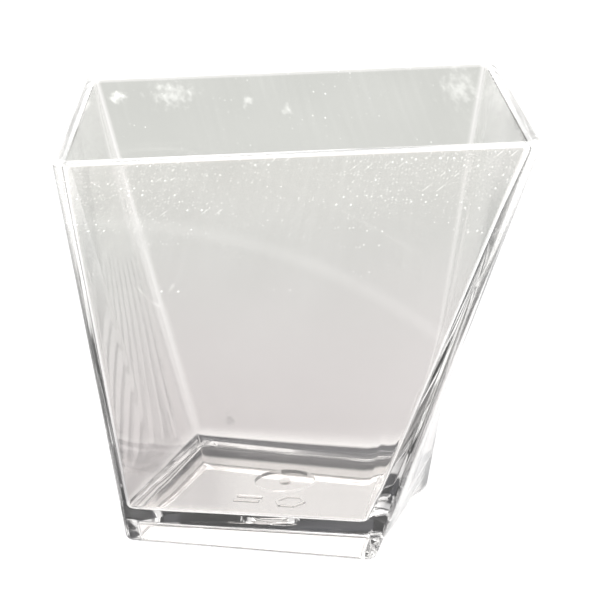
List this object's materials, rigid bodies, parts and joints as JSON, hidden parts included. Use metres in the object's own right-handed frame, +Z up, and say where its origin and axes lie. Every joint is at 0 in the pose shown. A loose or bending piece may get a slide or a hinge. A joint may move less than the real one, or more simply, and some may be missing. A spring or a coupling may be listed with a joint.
{
  "type": "plastic dessert cup",
  "caption": "Clear plastic dessert cup with a square mouth over a smaller turned base, twisted flat-sided walls and a raised floor on a foot ring.",
  "frame": {"origin": "under the middle of the mouth, on the surface that the foot rests on", "axes": "+Z up through the open mouth, X and Y along the sides of the square mouth, -Y towards the viewer of the picture"},
  "size_m": [0.0597, 0.0596, 0.058],
  "materials": {
    "clear_plastic": "clear glossy injection-moulded plastic, faintly grey, with dust specks and fine scratches"
  },
  "bodies": {
    "root": {"cup": "clear_plastic"}
  },
  "joints": []
}
